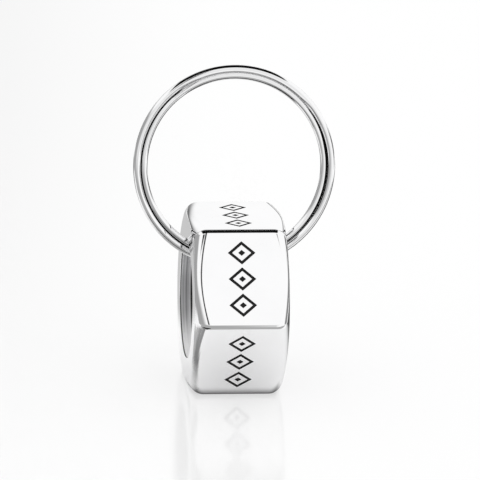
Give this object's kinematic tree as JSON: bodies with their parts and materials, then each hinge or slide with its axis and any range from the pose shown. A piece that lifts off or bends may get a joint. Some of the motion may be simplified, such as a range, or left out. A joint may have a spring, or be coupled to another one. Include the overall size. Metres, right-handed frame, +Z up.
{
  "type": "nut keychain",
  "caption": "Polished hexagonal nut with a wide smooth bore and bare flats, carried on a split ring that passes through the bore; for keeping keys.",
  "frame": {"origin": "centre of the overall box's base, which is the middle of the flat that the nut stands on", "axes": "+X along the nut's bore, +Z up and square to the flat that it stands on, -Y towards the large flat that faces the viewer; the ring leans back towards +Y"},
  "size_m": [0.03, 0.0292, 0.0466],
  "materials": {
    "nut_steel": "mirror-polished stainless steel",
    "ring_steel": "mirror-polished stainless steel wire"
  },
  "bodies": {
    "ring": {"split_ring": "ring_steel"},
    "nut": {"hex_nut": "nut_steel"}
  },
  "joints": [
    {"name": "nut_swing", "type": "hinge", "parent": "ring", "child": "nut", "pos_m": [0, 0, 0.01275], "axis": [1, 0, 0], "continuous": true}
  ]
}
